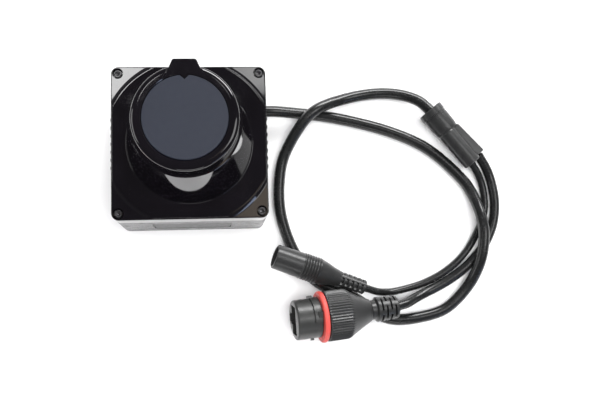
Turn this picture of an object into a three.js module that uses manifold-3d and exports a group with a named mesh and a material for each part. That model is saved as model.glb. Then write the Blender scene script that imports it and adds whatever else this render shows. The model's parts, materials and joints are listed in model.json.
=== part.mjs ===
// Compact scanning lidar: a square housing, a cone-shaped window with a mirror rotor
// inside, and one lead that splits into an Ethernet socket and a power jack.
// Millimetres, +Z up. The origin is the centre of the housing's underside. +X is the
// side that the lead leaves by, and -Y is the front, which carries the blank label.
import * as THREE from 'three'
import { mergeVertices } from 'three/addons/utils/BufferGeometryUtils.js'
import Module from 'manifold-3d'

const wasm = await Module()
wasm.setup()

// ---------------------------------------------------------------- driving dimensions
const GAP = 0.3 // clearance between touching pieces
const SIDE = 80 // plan size of the housing
const CORNER_R = 4 // plan corner radius
const WALL = 3 // casing wall
const BOSS_R = 15 // inner corner radius, which leaves the screw bosses
const PLATE_T = 3 // bottom plate
const SEAM_Z = 43 // top of the base casing
const SEAT_Z = 56.4 // corner screw seats of the window cover
const FLANGE_Z = 57.7 // raised centre of the window cover
const TOP_Z = 113.3 // rim of the turret
const DECK_Z = 36 // top of the motor deck inside the base
const DECK_T = 3
const CONE_FOOT_R = 32.3 // turret radius at the flange
const CONE_TOP_R = 24.9 // turret radius below the rim fillet
const RIM_FILLET = 3.4
const WINDOW_T = 2.3 // turret wall
const DISC_R = 19.6
const DISC_RECESS = 1.6
const SCREW_XY = 36.42 // cover screws, from the centre lines
const BOTTOM_SCREW_XY = 36.2
const BOARD_SCREW_XY = 27
const EXIT_Y = 27
const EXIT_Z = 8.6
const MAIN_D = 6.5
const POWER_D = 4.2
const ETHERNET_D = 5.6
const SHAFT_R = 2.5
const BEARING_R = 6.5
const BEARING_H = 4
const LOWER_BEARING_Z = 25
const UPPER_BEARING_Z = 41.5

// ------------------------------------------------------------------------- materials
const finish = (color, roughness, metalness = 0) =>
  new THREE.MeshStandardMaterial({ color, roughness, metalness })
const castBlack = finish('#2b2a2d', 0.45, 0.3)
const windowBlack = finish('#141216', 0.08)
const slate = finish('#3f434d', 0.55)
const blackSteel = finish('#3a3a3c', 0.35, 0.9)
const steel = finish('#a9abae', 0.3, 1)
const labelGrey = finish('#8b8a88', 0.6)
const rubberBlack = finish('#2a2b2b', 0.8)
const cableBlack = finish('#323434', 0.5)
const plasticBlack = finish('#464849', 0.6)
const sealRed = finish('#ef5f58', 0.6)
const boardGreen = finish('#1f5b3a', 0.5)
const aluminium = finish('#b4b6b8', 0.35, 1)
const copper = finish('#b5713c', 0.4, 1)
const glass = finish('#cfd8e6', 0.05)
const mirror = finish('#e6e8ea', 0.03, 1)
const gold = finish('#c9a24a', 0.3, 1)
const amber = finish('#b0722a', 0.5)

// ------------------------------------------------------------------- shape functions
// A closed manifold solid from any three.js geometry.
function solid(geometry) {
  const bare = geometry.clone()
  bare.deleteAttribute('normal')
  bare.deleteAttribute('uv')
  const merged = mergeVertices(bare, 1e-4)
  const index = merged.index.array
  const triangles = []
  for (let i = 0; i < index.length; i += 3) {
    const [a, b, c] = [index[i], index[i + 1], index[i + 2]]
    if (a !== b && b !== c && c !== a) triangles.push(a, b, c)
  }
  return new wasm.Manifold(new wasm.Mesh({
    numProp: 3,
    vertProperties: new Float32Array(merged.attributes.position.array),
    triVerts: new Uint32Array(triangles)
  }))
}

function geometryOf(manifold) {
  const mesh = manifold.getMesh()
  const geometry = new THREE.BufferGeometry()
  geometry.setAttribute('position', new THREE.BufferAttribute(mesh.vertProperties, 3))
  geometry.setIndex(new THREE.BufferAttribute(mesh.triVerts, 1))
  geometry.computeVertexNormals()
  return geometry
}

const join = (...pieces) => pieces.reduce((whole, piece) => whole.add(piece))
const cut = (body, ...tools) => tools.reduce((rest, tool) => rest.subtract(tool), body)

// A rounded rectangle centred on the origin, as a shape.
function roundedRect(width, height, radius) {
  const [x, y] = [width / 2 - radius, height / 2 - radius]
  const shape = new THREE.Shape()
  shape.absarc(x, -y, radius, -Math.PI / 2, 0)
  shape.absarc(x, y, radius, 0, Math.PI / 2)
  shape.absarc(-x, y, radius, Math.PI / 2, Math.PI)
  shape.absarc(-x, -y, radius, Math.PI, Math.PI * 1.5)
  return shape
}

function polygon(points) {
  return new THREE.Shape(points.map(([x, y]) => new THREE.Vector2(x, y)))
}

// A shape in the XY plane raised from z0 to z1.
function prism(shape, z0, z1, curveSegments = 4) {
  const options = { depth: z1 - z0, bevelEnabled: false, curveSegments }
  return solid(new THREE.ExtrudeGeometry(shape, options).translate(0, 0, z0))
}

function box(sizeX, sizeY, sizeZ, x, y, z) {
  return solid(new THREE.BoxGeometry(sizeX, sizeY, sizeZ).translate(x, y, z))
}

// A profile of [radius, z] points, anticlockwise, turned about Z.
function turned(profile, segments = 24) {
  const points = profile.map(([r, z]) => new THREE.Vector2(r, z))
  return solid(new THREE.LatheGeometry(points, segments).rotateX(Math.PI / 2))
}

function rod(radius, z0, z1, segments = 24) {
  return turned([[0, z0], [radius, z0], [radius, z1], [0, z1]], segments)
}

function ring(inner, outer, z0, z1, segments = 16) {
  const profile = [[inner, z0], [outer, z0], [outer, z1], [inner, z1], [inner, z0]]
  return turned(profile, segments)
}

// A round section swept along points, with flat ends.
function tube(points, diameter, steps, sides) {
  const path = new THREE.CatmullRomCurve3(points.map((p) => new THREE.Vector3(...p)), false, 'centripetal')
  const corner = (i) => [Math.cos((i * 2 * Math.PI) / sides), Math.sin((i * 2 * Math.PI) / sides)]
  const outline = Array.from({ length: sides }, (_, i) => corner(i).map((v) => (v * diameter) / 2))
  const options = { steps, extrudePath: path, bevelEnabled: false }
  return solid(new THREE.ExtrudeGeometry(polygon(outline), options))
}

// The four places (+-distance, +-distance), front left first.
const fourCorners = (distance) =>
  [[-1, -1], [1, -1], [1, 1], [-1, 1]].map(([x, y]) => [x * distance, y * distance])

const lidar = new THREE.Group()

function add(name, manifold, material, parent = lidar) {
  const mesh = new THREE.Mesh(geometryOf(manifold), material)
  mesh.name = name
  parent.add(mesh)
  return mesh
}

// A frame whose Z runs from one point to another, with Y as near up as it can be.
function frameAlong(from, to) {
  const [start, end] = [new THREE.Vector3(...from), new THREE.Vector3(...to)]
  const z = end.clone().sub(start).normalize()
  const x = new THREE.Vector3(0, 0, 1).cross(z).normalize()
  const y = z.clone().cross(x)
  const group = new THREE.Group()
  group.quaternion.setFromRotationMatrix(new THREE.Matrix4().makeBasis(x, y, z))
  group.position.copy(start)
  lidar.add(group)
  return group
}

// --------------------------------------------------------------------------- housing
// Shallow cooling ribs on the two side walls.
function sideRibs(z0, z1) {
  const [count, pitch, width, proud] = [7, 4.2, 2, 0.5]
  const ribs = []
  for (const side of [-1, 1]) {
    for (let i = 0; i < count; i++) {
      const y = (i - (count - 1) / 2) * pitch
      ribs.push(box(2 * proud + 1, width, z1 - z0, side * (SIDE / 2 - 0.5), y, (z0 + z1) / 2))
    }
  }
  return join(...ribs)
}

const LABEL = { width: 42, height: 24, z: 23.7, recess: 0.9, thickness: 0.5 }

// A prism along Y, for what is cut into or laid on the front wall.
function frontPrism(shape, y0, y1, z) {
  const options = { depth: y1 - y0, bevelEnabled: false, curveSegments: 4 }
  const geometry = new THREE.ExtrudeGeometry(shape, options)
  return solid(geometry.rotateX(Math.PI / 2).translate(0, y1, z))
}

// A rod along X.
function sideRod(radius, x0, x1, y, z, segments = 20) {
  const geometry = new THREE.CylinderGeometry(radius, radius, x1 - x0, segments)
  return solid(geometry.rotateZ(Math.PI / 2).translate((x0 + x1) / 2, y, z))
}

const GROMMET = { neck: 4.6, flange: 5, proud: 2.2, bore: MAIN_D / 2 + GAP + 0.05 }
const GASKET = { size: 78.4, width: 1.4, corner: 16, height: 0.8, groove: 1.1 }
const FLEX = { y: 28.6, width: 10 }

function gasketRing(z0, z1, grow) {
  const { size, width, corner } = GASKET
  const outer = prism(roundedRect(size + grow, size + grow, corner), z0, z1, 3)
  const inner = size - 2 * width - grow
  return outer.subtract(prism(roundedRect(inner, inner, corner - width), z0 - 1, z1 + 1, 3))
}

function baseHousing() {
  const z0 = PLATE_T + GAP
  const inside = SIDE - 2 * WALL
  const shell = prism(roundedRect(SIDE, SIDE, CORNER_R), z0, SEAM_Z)
  const below = prism(roundedRect(inside, inside, BOSS_R), z0 - 1, DECK_Z - DECK_T)
  const above = prism(roundedRect(inside, inside, BOSS_R), DECK_Z, SEAM_Z + 1)
  const motorSeat = rod(MOTOR.tube + GAP, DECK_Z - DECK_T - 1, DECK_Z + 1)
  const flexSlot = box(FLEX.width + 2, 3.4, DECK_T + 2, 0, FLEX.y + 0.6, DECK_Z - DECK_T / 2)
  const cableHole = sideRod(GROMMET.neck + GAP, 30, SIDE / 2 + 1, EXIT_Y, EXIT_Z)
  const labelRecess = frontPrism(
    roundedRect(LABEL.width, LABEL.height, 3), -SIDE / 2 - 1, -SIDE / 2 + LABEL.recess, LABEL.z)
  const seal = gasketRing(SEAM_Z - GASKET.groove, SEAM_Z + 1, 2 * GAP)
  const posts = fourCorners(BOARD_SCREW_XY).map(([x, y]) =>
    rod(2.8, BOARD_Z + BOARD_T + GAP, DECK_Z - DECK_T + 1, 8).translate(x, y, 0))
  const postHoles = fourCorners(BOARD_SCREW_XY).map(([x, y]) =>
    rod(1.25, BOARD_Z, DECK_Z - DECK_T - 4, 8).translate(x, y, 0))
  const topHoles = fourCorners(SCREW_XY).map(([x, y]) =>
    rod(1.25 + GAP, COVER_SCREW.tip - 1, SEAM_Z + 1, 8).translate(x, y, 0))
  const bottomHoles = fourCorners(BOTTOM_SCREW_XY).map(([x, y]) =>
    rod(1.25 + GAP, z0 - 1, BOTTOM_SCREW.tip + 1, 8).translate(x, y, 0))
  const hollow = cut(shell, below, above, motorSeat, flexSlot, cableHole, labelRecess, seal)
  const ribbed = join(hollow, sideRibs(8, SEAM_Z - 3.5), ...posts)
  return cut(ribbed, ...postHoles, ...topHoles, ...bottomHoles)
}

const MOUNT_HOLE = { xy: 24, radius: 1.65, depth: 2.2 }

function bottomPlate() {
  const plate = prism(roundedRect(SIDE, SIDE, CORNER_R), 0, PLATE_T)
  const seal = gasketRing(PLATE_T - GASKET.groove, PLATE_T + 1, 2 * GAP)
  const screwHoles = fourCorners(BOTTOM_SCREW_XY).map(([x, y]) =>
    turned([[0, -1], [3, -1], [3, 0.5], [1.6, 1.9], [1.6, PLATE_T + 1], [0, PLATE_T + 1]], 12)
      .translate(x, y, 0))
  const mountHoles = fourCorners(MOUNT_HOLE.xy).map(([x, y]) =>
    rod(MOUNT_HOLE.radius, -1, MOUNT_HOLE.depth, 10).translate(x, y, 0))
  return cut(plate, seal, ...screwHoles, ...mountHoles)
}

// Countersunk, head down.
const BOTTOM_SCREW = { tip: 12 }
function bottomScrew() {
  const profile = [[0, 0.2], [2.5, 0.2], [2.5, 0.5], [1.25, 1.75], [1.25, 12], [0, 12]]
  const socket = rod(0.9, -1, 1.2, 6)
  return turned(profile, 12).subtract(socket)
}

// Socket head cap screw in a corner seat of the window cover.
const COVER_SCREW = { head: 2.2, headHeight: 2.5, seat: SEAT_Z - 3.2, tip: 30, counterbore: 2.75 }
function coverScrew() {
  const { head, headHeight, seat, tip } = COVER_SCREW
  const under = seat + GAP
  const top = under + headHeight
  const profile = [[0, tip], [1.25, tip], [1.25, under], [head, under], [head, top], [0, top]]
  const socket = rod(1.15, top - 1.3, top + 1, 6)
  return turned(profile, 12).subtract(socket)
}

// Turret radius at a height, outside the rim fillet.
const coneSlope = (CONE_FOOT_R - CONE_TOP_R) / (TOP_Z - RIM_FILLET - FLANGE_Z)
const coneRadius = (z) => CONE_FOOT_R - (z - FLANGE_Z) * coneSlope

function turretOuter() {
  const filletFoot = TOP_Z - RIM_FILLET
  const profile = [[0, SEAT_Z - 1], [coneRadius(SEAT_Z - 1), SEAT_Z - 1]]
  const steps = 5
  for (let i = 0; i <= steps; i++) {
    const angle = (i / steps) * Math.PI / 2
    const r = CONE_TOP_R - RIM_FILLET * (1 - Math.cos(angle))
    profile.push([r, filletFoot + RIM_FILLET * Math.sin(angle)])
  }
  profile.push([0, TOP_Z])
  return turned(profile, 36)
}

const TAB = { root: 7, shoulder: 23.2, tip: 5.3, reach: 26.8, corner: 1.2, foot: 62 }

// Rear pillar of the turret, which ends in the tapered tab behind the rim.
function rearPillar() {
  const { root, shoulder, tip, reach, corner, foot } = TAB
  const shape = new THREE.Shape()
  shape.moveTo(-root, 12)
  shape.lineTo(root, 12)
  shape.lineTo(root, shoulder)
  shape.absarc(tip - corner, reach - corner, corner, 0.4, Math.PI / 2)
  shape.absarc(-tip + corner, reach - corner, corner, Math.PI / 2, Math.PI - 0.4)
  shape.lineTo(-root, shoulder)
  return prism(shape, foot, TOP_Z, 4)
}

// Raised centre of the flange: straight sides and round corners, with a bevelled edge.
function plateau() {
  const straight = 39.3
  const disc = turned([[0, SEAT_Z - 2], [45.3, SEAT_Z - 2], [45.3, SEAT_Z], [43.6, FLANGE_Z - 0.15],
    [43.4, FLANGE_Z], [0, FLANGE_Z]], 48)
  const square = prism(polygon([[-straight, -straight], [straight, -straight],
    [straight, straight], [-straight, straight]]), SEAT_Z - 3, FLANGE_Z + 1)
  return disc.intersect(square)
}

// The small pointer that runs from the tab into the disc's edge.
const POINTER = { half: 3.1, root: 20.6, apex: 17.9 }
function pointer(grow, z0, z1) {
  const { half, root, apex } = POINTER
  const outline = polygon([[-half - grow, root], [0, apex - 1.4 * grow], [half + grow, root]])
  return prism(outline, z0, z1)
}

function windowCover() {
  const z0 = SEAM_Z + GAP
  const ceiling = SEAT_Z - WALL
  const inside = SIDE - 2 * WALL
  const recessFloor = TOP_Z - DISC_RECESS
  const top = recessFloor - 2.6
  const skirt = prism(roundedRect(SIDE, SIDE, CORNER_R), z0, SEAT_Z)
  const body = join(skirt, plateau(), turretOuter(), rearPillar(), sideRibs(z0 + 2.5, SEAT_Z - 2.5))
  const skirtHollow = prism(roundedRect(inside, inside, BOSS_R), z0 - 1, ceiling)
  const turretHollow = turned([[0, ceiling - 1], [coneRadius(ceiling) - WINDOW_T, ceiling - 1],
    [coneRadius(top) - WINDOW_T, top], [0, top]], 28)
  const discRecess = rod(DISC_R + GAP, recessFloor, TOP_Z + 1, 36)
  const seats = fourCorners(SCREW_XY).map(([x, y]) =>
    join(rod(COVER_SCREW.counterbore, COVER_SCREW.seat, TOP_Z, 14), rod(1.6, z0 - 1, TOP_Z, 8))
      .translate(x, y, 0))
  const hollow = cut(body, skirtHollow, turretHollow, discRecess, ...seats)
  return hollow.add(pointer(0, recessFloor - 0.5, TOP_Z))
}

function topDisc() {
  const z0 = TOP_Z - DISC_RECESS + GAP
  return rod(DISC_R, z0, TOP_Z - 0.1, 36).subtract(pointer(GAP, z0 - 1, TOP_Z))
}

function grommet() {
  const { neck, flange, proud, bore } = GROMMET
  const outside = SIDE / 2 + GAP
  const body = join(sideRod(neck, 35, outside + 0.5, EXIT_Y, EXIT_Z),
    sideRod(flange, outside, outside + proud, EXIT_Y, EXIT_Z))
  return body.subtract(sideRod(bore, 30, 50, EXIT_Y, EXIT_Z, 24))
}

// ------------------------------------------------------------------- boards and drive
const BOARD_Z = 16
const BOARD_T = 1.6
const MOTOR = { tube: 8.3, flange: 14, stator: 12.6, bellInner: 13.2, bell: 16 }

function mainBoard() {
  const board = prism(roundedRect(64, 64, 3), BOARD_Z, BOARD_Z + BOARD_T, 3)
  const holes = fourCorners(BOARD_SCREW_XY).map(([x, y]) =>
    rod(1.6, BOARD_Z - 1, BOARD_Z + 3, 8).translate(x, y, 0))
  return cut(board, ...holes)
}

function boardScrew() {
  const profile = [[0, 13.7], [2.2, 13.7], [2.2, BOARD_Z - GAP], [0.95, BOARD_Z - GAP],
    [0.95, 25], [0, 25]]
  return turned(profile, 8)
}

function motorBase() {
  const { tube: outer, flange } = MOTOR
  const bore = BEARING_R + GAP
  const [low, high] = [LOWER_BEARING_Z - 1.5, UPPER_BEARING_Z + BEARING_H + 0.3]
  const seat = DECK_Z + GAP
  return turned([[bore, low], [outer, low], [outer, seat], [flange, seat], [flange, seat + 1.2],
    [outer, seat + 1.2], [outer, high], [bore, high], [bore, low]], 20)
}

// Nine wound poles on a common ring.
function statorWinding() {
  const [poles, inner, root] = [9, MOTOR.tube + GAP, 9.8]
  const shape = new THREE.Shape()
  for (let i = 0; i < poles; i++) {
    const middle = (i / poles) * 2 * Math.PI
    const at = (r, offset) => [r * Math.cos(middle + offset), r * Math.sin(middle + offset)]
    const points = [at(root, -0.26), at(MOTOR.stator, -0.22), at(MOTOR.stator, 0.22), at(root, 0.26)]
    points.forEach(([x, y], k) => (i + k === 0 ? shape.moveTo(x, y) : shape.lineTo(x, y)))
  }
  return prism(shape, 38.2, 44.6).subtract(rod(inner, 37, 46, 28))
}

function motorRotor() {
  const { bellInner, bell } = MOTOR
  const bore = SHAFT_R + GAP
  return turned([[bore, 46.4], [bellInner, 46.4], [bellInner, 38.4], [bell, 38.4], [bell, 48],
    [bore, 48], [bore, 46.4]], 24)
}

function ballCage() {
  const [count, pitchR] = [7, 4.6]
  const cage = ring(pitchR - 0.3, pitchR + 0.3, 1.3, 2.7, 14)
  const balls = Array.from({ length: count }, (_, i) => {
    const angle = (i / count) * 2 * Math.PI
    const ball = new THREE.SphereGeometry(0.62, 6, 4)
    return solid(ball.translate(pitchR * Math.cos(angle), pitchR * Math.sin(angle), 2))
  })
  return join(cage, ...balls)
}

const ENCODER = { inner: MOTOR.bell + GAP, outer: 23, z: 41, thickness: 0.6, slots: 20 }

function encoderDisc() {
  const { inner, outer, z, thickness, slots } = ENCODER
  const shape = new THREE.Shape()
  for (let i = 0; i < slots * 2; i++) {
    const r = i % 2 ? outer : outer - 1.6
    for (const offset of [-0.46, 0.46]) {
      const angle = ((i + offset) / (slots * 2)) * 2 * Math.PI
      const [x, y] = [r * Math.cos(angle), r * Math.sin(angle)]
      if (i === 0 && offset < 0) shape.moveTo(x, y)
      else shape.lineTo(x, y)
    }
  }
  return prism(shape, z, z + thickness).subtract(rod(inner, z - 1, z + 2, 32))
}

// Fork that the encoder disc's edge runs through.
function encoderSensor() {
  const block = box(7, 9, 8, -23.8, 0, DECK_Z + GAP + 4)
  return block.subtract(box(5, 12, 2.6, -21.2, 0, ENCODER.z + ENCODER.thickness / 2))
}

// ---------------------------------------------------------------------------- optics
const MIRROR = { width: 25, length: 35, thickness: 2, z: 76, tilt: Math.PI / 4 }

// A slab above the plane that the mirror lies in, turned about X.
function aboveMirror(lift) {
  const geometry = new THREE.BoxGeometry(80, 80, 40).translate(0, 0, 20 + lift)
  return solid(geometry.rotateX(MIRROR.tilt).translate(0, 0, MIRROR.z))
}

function mirrorHub() {
  const column = turned([[0, 48.3], [13.5, 48.3], [13.5, 51.3], [11.5, 52.3], [11.5, 92], [0, 92]], 28)
  return column.subtract(aboveMirror(-MIRROR.thickness - GAP))
    .subtract(rod(SHAFT_R + GAP, 47, 55.3, 20))
}

function scanMirror() {
  const { width, length, thickness, tilt, z } = MIRROR
  const shape = new THREE.Shape().absellipse(0, 0, width / 2, length / 2, 0, 2 * Math.PI)
  const options = { depth: thickness, bevelEnabled: false, curveSegments: 16 }
  const plate = new THREE.ExtrudeGeometry(shape, options).translate(0, 0, -thickness)
  return solid(plate.rotateX(tilt).translate(0, 0, z))
}

// Sector on the low side of the hub that balances the tilted mirror.
function balanceWeight() {
  const shape = new THREE.Shape()
  shape.absarc(0, 0, 18, Math.PI * 1.2, Math.PI * 1.8)
  shape.absarc(0, 0, 13.8, Math.PI * 1.8, Math.PI * 1.2, true)
  return prism(shape, 48.6, 51.8, 8)
}

function opticsHolder() {
  const cup = turned([[14.6, 95.5], [20.6, 95.5], [20.6, 108.6], [19.5, 108.6], [19.5, 101],
    [14.6, 101], [14.6, 95.5]], 24)
  const leadSlot = box(FLEX.width + 2, 6, 7, 0, 20, 106)
  return cup.subtract(leadSlot)
}

function receiveLens() {
  return turned([[4.3, 95.2], [8, 93.9], [12, 94.6], [14.3, 96.2], [14.3, 98.4], [4.3, 98.4],
    [4.3, 95.2]], 24)
}

function laserTube() {
  return turned([[0, 92], [2.2, 92], [2.2, 93], [4, 93], [4, 103.4], [0, 103.4]], 18)
}

// Flat flexible lead from the detector board, down behind the rotor, to the main board.
function flexLead() {
  const low = BOARD_Z + BOARD_T + GAP
  const outline = [[14, 104.6], [21, 104.6], [22.2, 103.6], [FLEX.y, 53.2], [FLEX.y, low],
    [FLEX.y + 0.5, low], [FLEX.y + 0.5, 53.2], [22.7, 103.9], [21.2, 105.1], [14, 105.1]]
  const options = { depth: FLEX.width, bevelEnabled: false }
  const geometry = new THREE.ExtrudeGeometry(polygon(outline), options)
  const upright = new THREE.Matrix4().makeBasis(
    new THREE.Vector3(0, 1, 0), new THREE.Vector3(0, 0, 1), new THREE.Vector3(1, 0, 0))
  return solid(geometry.applyMatrix4(upright).translate(-FLEX.width / 2, 0, 0))
}

// -------------------------------------------------------------------------- the lead
// Routes, from the housing outwards: along the table, one long low hump where a
// stretch crosses another, and under the two connectors.
const MAIN_ROUTE = [
  [36, 27, 8.6], [42, 27, 8.6], [48, 27.1, 8.1], [66, 26.4, 3.6], [72, 25.7, 3.3],
  [84.6, 23.6, 3.3], [115.3, 15.5, 3.3], [138.5, 4.4, 3.3], [158.6, -14.6, 3.4],
  [162.8, -21.6, 4], [165.4, -29, 5.6], [166.9, -37, 8.1], [167.5, -46, 9.5],
  [165.2, -61, 8.6], [159, -75, 4.2], [146, -88, 3.3], [137, -92, 3.3], [118.5, -94.8, 3.3],
  [110, -93.8, 3.3], [102, -90, 3.3], [94, -83.6, 3.3], [86, -78.6, 3.3], [77, -76, 3.3],
  [68.6, -71, 3.3], [61.8, -62.9, 3.3], [54.1, -48, 3.3], [49.3, -28, 3.3], [50.6, -5.5, 3.9],
  [54, 4.6, 5.4], [64.6, 21.2, 10.1], [71.4, 27.2, 10.3], [79.4, 31.4, 8], [88.4, 34.7, 5],
  [98, 37.2, 3.5], [108, 38.5, 3.3], [118, 38.3, 3.6], [127, 36.2, 4.9], [134, 32.6, 6.7],
  [139.4, 27.3, 7.5]
]
const POWER_ROUTE = [
  [164.4, -5.8, 5.3], [167, -9.8, 4.2], [169.3, -14.8, 2.9], [170.7, -20.6, 2.2],
  [171.2, -26.6, 2.1], [170.7, -32.6, 2.1], [168.8, -38.8, 2.1], [165.4, -45.6, 2.1],
  [161.2, -52.6, 2.1], [156.4, -58.6, 2.1], [150, -64.4, 2.1], [141.4, -70, 2.1],
  [131, -74.6, 2.1], [120.6, -77.4, 2.3], [112, -78.8, 3.4], [104.5, -78.6, 6.4],
  [97.4, -76.6, 8.6]
]
const ETHERNET_ROUTE = [
  [169.1, -1.9, 5.6], [172, -6.4, 4.4], [174.6, -12, 3.2], [176.2, -18.6, 2.8],
  [177, -26, 2.8], [176.6, -33.6, 2.8], [175, -41, 2.8], [172, -48, 2.8], [168.6, -53.6, 2.8],
  [163.6, -59.8, 2.8], [157.6, -65.4, 2.8], [150, -70.9, 2.8], [141, -76, 2.8],
  [133, -79.6, 3.6], [125.6, -82.9, 6.6], [119.6, -85.6, 10.4], [114.6, -86.9, 12.4]
]

const SPLITTER = { from: [139.8, 26.9, 7.6], to: [165.2, -4.4, 6.6], length: 39.6 }
const LOBE = { x: -2, radius: 6.2 }
const WING = { x: 4, width: 8.4, y: -0.8, height: 8.4 }

function splitterBody() {
  const { length } = SPLITTER
  const collar = turned([[0, 0], [7.2, 0], [7.5, 0.4], [7.5, 3.2], [7, 3.2], [7, 4.2], [7.4, 4.2],
    [7.2, 17], [0, 19]], 24)
  const lobe = prism(new THREE.Shape().absarc(LOBE.x, 0, LOBE.radius, 0, 2 * Math.PI), 14, length)
  const wing = roundedRect(WING.width, WING.height, 1.2)
  const flat = prism(wing, 15, length, 3).translate(WING.x, WING.y, 0)
  return join(collar, lobe, flat)
}

const JACK = { from: [44.8, -57.4, 16.8], to: [96.6, -76.2, 8.8], length: 55 }

// Moulded power jack: open barrel, ringed grip, taper and slotted strain relief.
function jackShell() {
  const outline = [[0, 0], [6.6, 0], [6.9, 0.4], [7.3, 16]]
  const rings = 6
  for (let i = 0; i < rings; i++) {
    const z = 16.5 + i * 1.6
    outline.push([7.3, z], [6.9, z + 0.5], [7.3, z + 1])
  }
  outline.push([7.1, 26.4], [6.2, 31], [4.9, 37], [4.5, 39], [4.1, 40], [4.1, JACK.length], [0, JACK.length])
  const recess = rod(5.8, -1, 9.5, 20)
  const socketBore = rod(4.6, 9, 22, 16)
  const slots = reliefSlots(41, 2.9, 5, 2.1, 1.2, 5)
  return cut(turned(outline, 20), recess, socketBore, ...slots)
}

// Pairs of slots across a strain relief, each pair turned a quarter from the last.
function reliefSlots(z, pitch, count, core, width, reach) {
  return Array.from({ length: count }, (_, i) => {
    const block = (side) => i % 2
      ? box(reach, 2 * reach, width, side * (core + 0.6 + reach / 2), 0, z + i * pitch)
      : box(2 * reach, reach, width, 0, side * (core + 0.6 + reach / 2), z + i * pitch)
    return block(-1).add(block(1))
  })
}

function jackInsert() {
  return cut(rod(4.25, 8.2, 21.5, 14), rod(2.75, 7, 18, 12))
}

function jackPin() {
  return turned([[0, 6], [0.7, 6], [1.05, 6.5], [1.05, 17.7], [0, 17.7]], 12)
}

const SOCKET = { from: [54.1, -93.2, 20.6], to: [114.1, -87.4, 12.5], length: 60 }
const PORT = { width: 11.8, height: 8.4, y: 0.6, depth: 13, roll: 13 }
const SEAL_Z = 14.2 // front face of the seal ring, from the socket's mouth

// Round socket barrel with the stepped port and its wider mouth, a raised band on one
// side, and two stops.
function ethernetSocket() {
  const { width, height, y, depth, roll } = PORT
  const end = SEAL_Z - GAP
  const barrel = turned([[0, 0], [10.2, 0], [11, 0.8], [11, end], [9.4, end], [9.4, 20], [0, 20]], 24)
  const band = ring(10.5, 11.4, 9.5, end, 24).subtract(box(30, 14, 9, 0, -7, 12).rotate([0, 0, roll]))
  const stops = [box(1.6, 3, 2.4, 11.6, 1, 9.9), box(1.4, 2, 1.7, -11.3, 0, 9)]
  const port = box(width, height, depth * 2, 0, y, 0)
  const mouth = box(16.2, 8.6, 6, 0, y - 0.1, 0)
  const latch = box(6.3, 3.8, depth * 2, 0, -5.3, 0)
  const keyway = box(4, 2.2, depth * 2, 0, -7.9, 0)
  return cut(join(barrel, band, ...stops), join(port, mouth, latch, keyway).rotate([0, 0, roll]))
}

// Eight contact wires on their carrier, on the roof of the port.
function ethernetContacts() {
  const [count, pitch] = [8, 1.02]
  const carrier = box(10.8, 1, 9, 0, 4, 8)
  const wires = Array.from({ length: count }, (_, i) => {
    const x = (i - (count - 1) / 2) * pitch
    return box(0.44, 0.8, 7, x, 3.4, 7.6)
  })
  return join(carrier, ...wires).rotate([0, 0, PORT.roll])
}

function sealRing() {
  const [z0, z1] = [SEAL_Z, SEAL_Z + 2.9]
  return turned([[9.8, z0], [13.6, z0], [14.2, z0 + 0.6], [14.2, z1 - 0.6], [13.6, z1], [9.8, z1],
    [9.8, z0]], 28)
}

function couplingGrip() {
  const z0 = SEAL_Z + 2.9 + GAP
  return turned([[9.8, z0], [13.6, z0], [14, z0 + 0.6], [14, 30.2], [13.2, 31.3], [6.1, 43.8],
    [4.6, 44], [4.6, 21], [9.8, 20.4], [9.8, z0]], 28)
}

function ethernetBoot() {
  const body = turned([[0, 30], [4.3, 30], [4.3, 44.4], [5.5, 44.4], [5.5, 47], [7, 47.6],
    [6.4, SOCKET.length], [0, SOCKET.length]], 20)
  return cut(body, ...reliefSlots(49.2, 3, 4, 2.8, 1.3, 7))
}

// -------------------------------------------------------------------------- assembly
function buildHousing() {
  add('base_housing', baseHousing(), castBlack)
  add('bottom_plate', bottomPlate(), castBlack)
  add('bottom_gasket', gasketRing(PLATE_T - GASKET.height, PLATE_T, 0), rubberBlack)
  add('cover_gasket', gasketRing(SEAM_Z - GASKET.height, SEAM_Z, 0), rubberBlack)
  add('window_cover', windowCover(), windowBlack)
  add('top_disc', topDisc(), slate)
  const plate = roundedRect(LABEL.width - 1, LABEL.height - 1, 2.5)
  const face = -SIDE / 2 + LABEL.recess - GAP
  add('label_plate', frontPrism(plate, face - LABEL.thickness, face, LABEL.z), labelGrey)
  add('cable_grommet', grommet(), rubberBlack)
  addFour('bottom_screw', bottomScrew(), blackSteel, BOTTOM_SCREW_XY)
  addFour('cover_screw', coverScrew(), blackSteel, SCREW_XY)
}

function addFour(name, manifold, material, distance) {
  fourCorners(distance).forEach(([x, y], i) => {
    add(`${name}_${i + 1}`, manifold, material).position.set(x, y, 0)
  })
}

function buildElectronics() {
  add('main_board', mainBoard(), boardGreen)
  addFour('board_screw', boardScrew(), steel, BOARD_SCREW_XY)
  add('cable_header', box(9, 13, 6, 19, 14, BOARD_Z + BOARD_T + GAP + 3), plasticBlack)
  add('encoder_sensor', encoderSensor(), plasticBlack)
  add('flex_lead', flexLead(), amber)
}

function buildDrive() {
  add('motor_base', motorBase(), aluminium)
  add('stator_winding', statorWinding(), copper)
  add('motor_shaft', rod(SHAFT_R, LOWER_BEARING_Z - 1, 55, 20), steel)
  add('motor_rotor', motorRotor(), steel)
  add('encoder_disc', encoderDisc(), steel)
  const bearings = [['lower', LOWER_BEARING_Z], ['upper', UPPER_BEARING_Z]]
  for (const [place, z] of bearings) {
    add(`${place}_bearing_outer`, ring(5.6, BEARING_R, 0, BEARING_H), steel).position.z = z
    add(`${place}_bearing_inner`, ring(SHAFT_R + GAP, 3.6, 0, BEARING_H), steel).position.z = z
    add(`${place}_ball_cage`, ballCage(), steel).position.z = z
  }
}

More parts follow.
